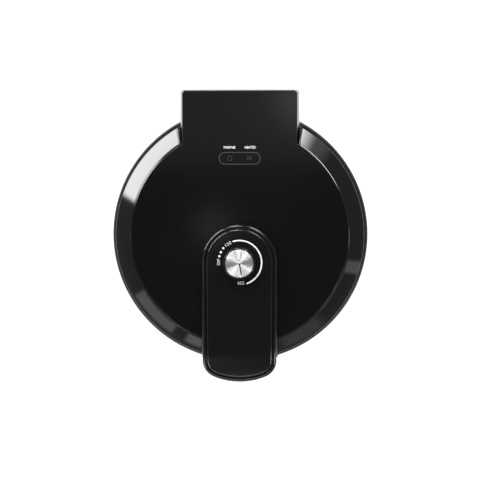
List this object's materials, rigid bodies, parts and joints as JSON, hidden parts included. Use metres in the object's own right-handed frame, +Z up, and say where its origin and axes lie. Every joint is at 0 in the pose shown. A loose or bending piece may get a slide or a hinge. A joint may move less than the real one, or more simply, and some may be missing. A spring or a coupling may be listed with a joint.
{
  "type": "electric pizza maker",
  "caption": "Round countertop pizza cooker: a base and a hinged lid hold heated plates, with a handle that runs over the lid and a thermostat knob.",
  "frame": {"origin": "on the table under the middle of the round body, which is also the middle of the footprint", "axes": "+Z up, the handle towards -Y, the hinge towards +Y"},
  "size_m": [0.34, 0.3846, 0.1196],
  "materials": {
    "black_moulding": "fine satin black moulding",
    "lid_gloss": "satin-gloss black lid skin",
    "ring_gloss": "glossy black ring",
    "handle_gloss": "glossy black handle",
    "knob_gloss": "glossy black knob",
    "spun_metal": "disc turned in fine circles",
    "pointer_black": "black inlay",
    "window_tint": "dark smoked window",
    "lamp_lens": "small neon lamps",
    "nonstick_plate": "cast plate with a dark non-stick coat",
    "sheet_steel": "plain sheet steel",
    "element_sheath": "heat-darkened sheath",
    "zinc_steel": "plated screws",
    "pin_steel": "ground steel",
    "bush_polymer": "pale bearing polymer",
    "pale_ceramic": "pale heat-proof body",
    "lead_sleeve": "braided heat-proof sleeve",
    "foot_rubber": "soft black rubber"
  },
  "bodies": {
    "base": {"base_housing": "black_moulding", "base_bottom_cover": "black_moulding", "bottom_cover_screws": "zinc_steel", "rubber_feet": "foot_rubber", "cord_inlet": "foot_rubber", "terminal_block": "pale_ceramic", "base_wiring": "lead_sleeve", "lower_cooking_plate": "nonstick_plate", "lower_plate_screws": "zinc_steel", "lower_heating_element": "element_sheath", "lower_element_clips": "sheet_steel", "lower_reflector": "sheet_steel", "lower_reflector_screws": "zinc_steel", "thermal_fuse": "pale_ceramic", "hinge_pins": "pin_steel"},
    "lid": {"lid_top_cover": "lid_gloss", "lid_bevel_ring": "ring_gloss", "lid_liner": "black_moulding", "lid_hinge_arms": "sheet_steel", "hinge_bushes": "bush_polymer", "arm_screws": "zinc_steel", "cover_screws": "zinc_steel", "upper_cooking_plate": "nonstick_plate", "upper_plate_screws": "zinc_steel", "upper_heating_element": "element_sheath", "upper_element_clips": "sheet_steel", "upper_reflector": "sheet_steel", "upper_reflector_screws": "zinc_steel", "indicator_window": "window_tint", "lamp_holder": "black_moulding", "indicator_lamps": "lamp_lens", "handle_body": "handle_gloss", "handle_top_panel": "handle_gloss", "grip_underside": "black_moulding", "handle_screws": "zinc_steel", "grip_screws": "zinc_steel", "thermostat_body": "pale_ceramic", "thermostat_bracket": "sheet_steel", "thermostat_nut": "zinc_steel", "lid_wiring": "lead_sleeve"},
    "knob": {"knob_body": "knob_gloss", "knob_cap": "spun_metal", "knob_pointer": "pointer_black", "thermostat_shaft": "pin_steel"}
  },
  "joints": [
    {"name": "lid_hinge", "type": "hinge", "parent": "base", "child": "lid", "pos_m": [0, 0.175, 0.054], "axis": [-1, 0, 0], "range_deg": [0, 100]},
    {"name": "knob_turn", "type": "hinge", "parent": "lid", "child": "knob", "pos_m": [0, -0.034, 0.11], "axis": [0, 0, 1], "range_deg": [-7, 258]}
  ]
}
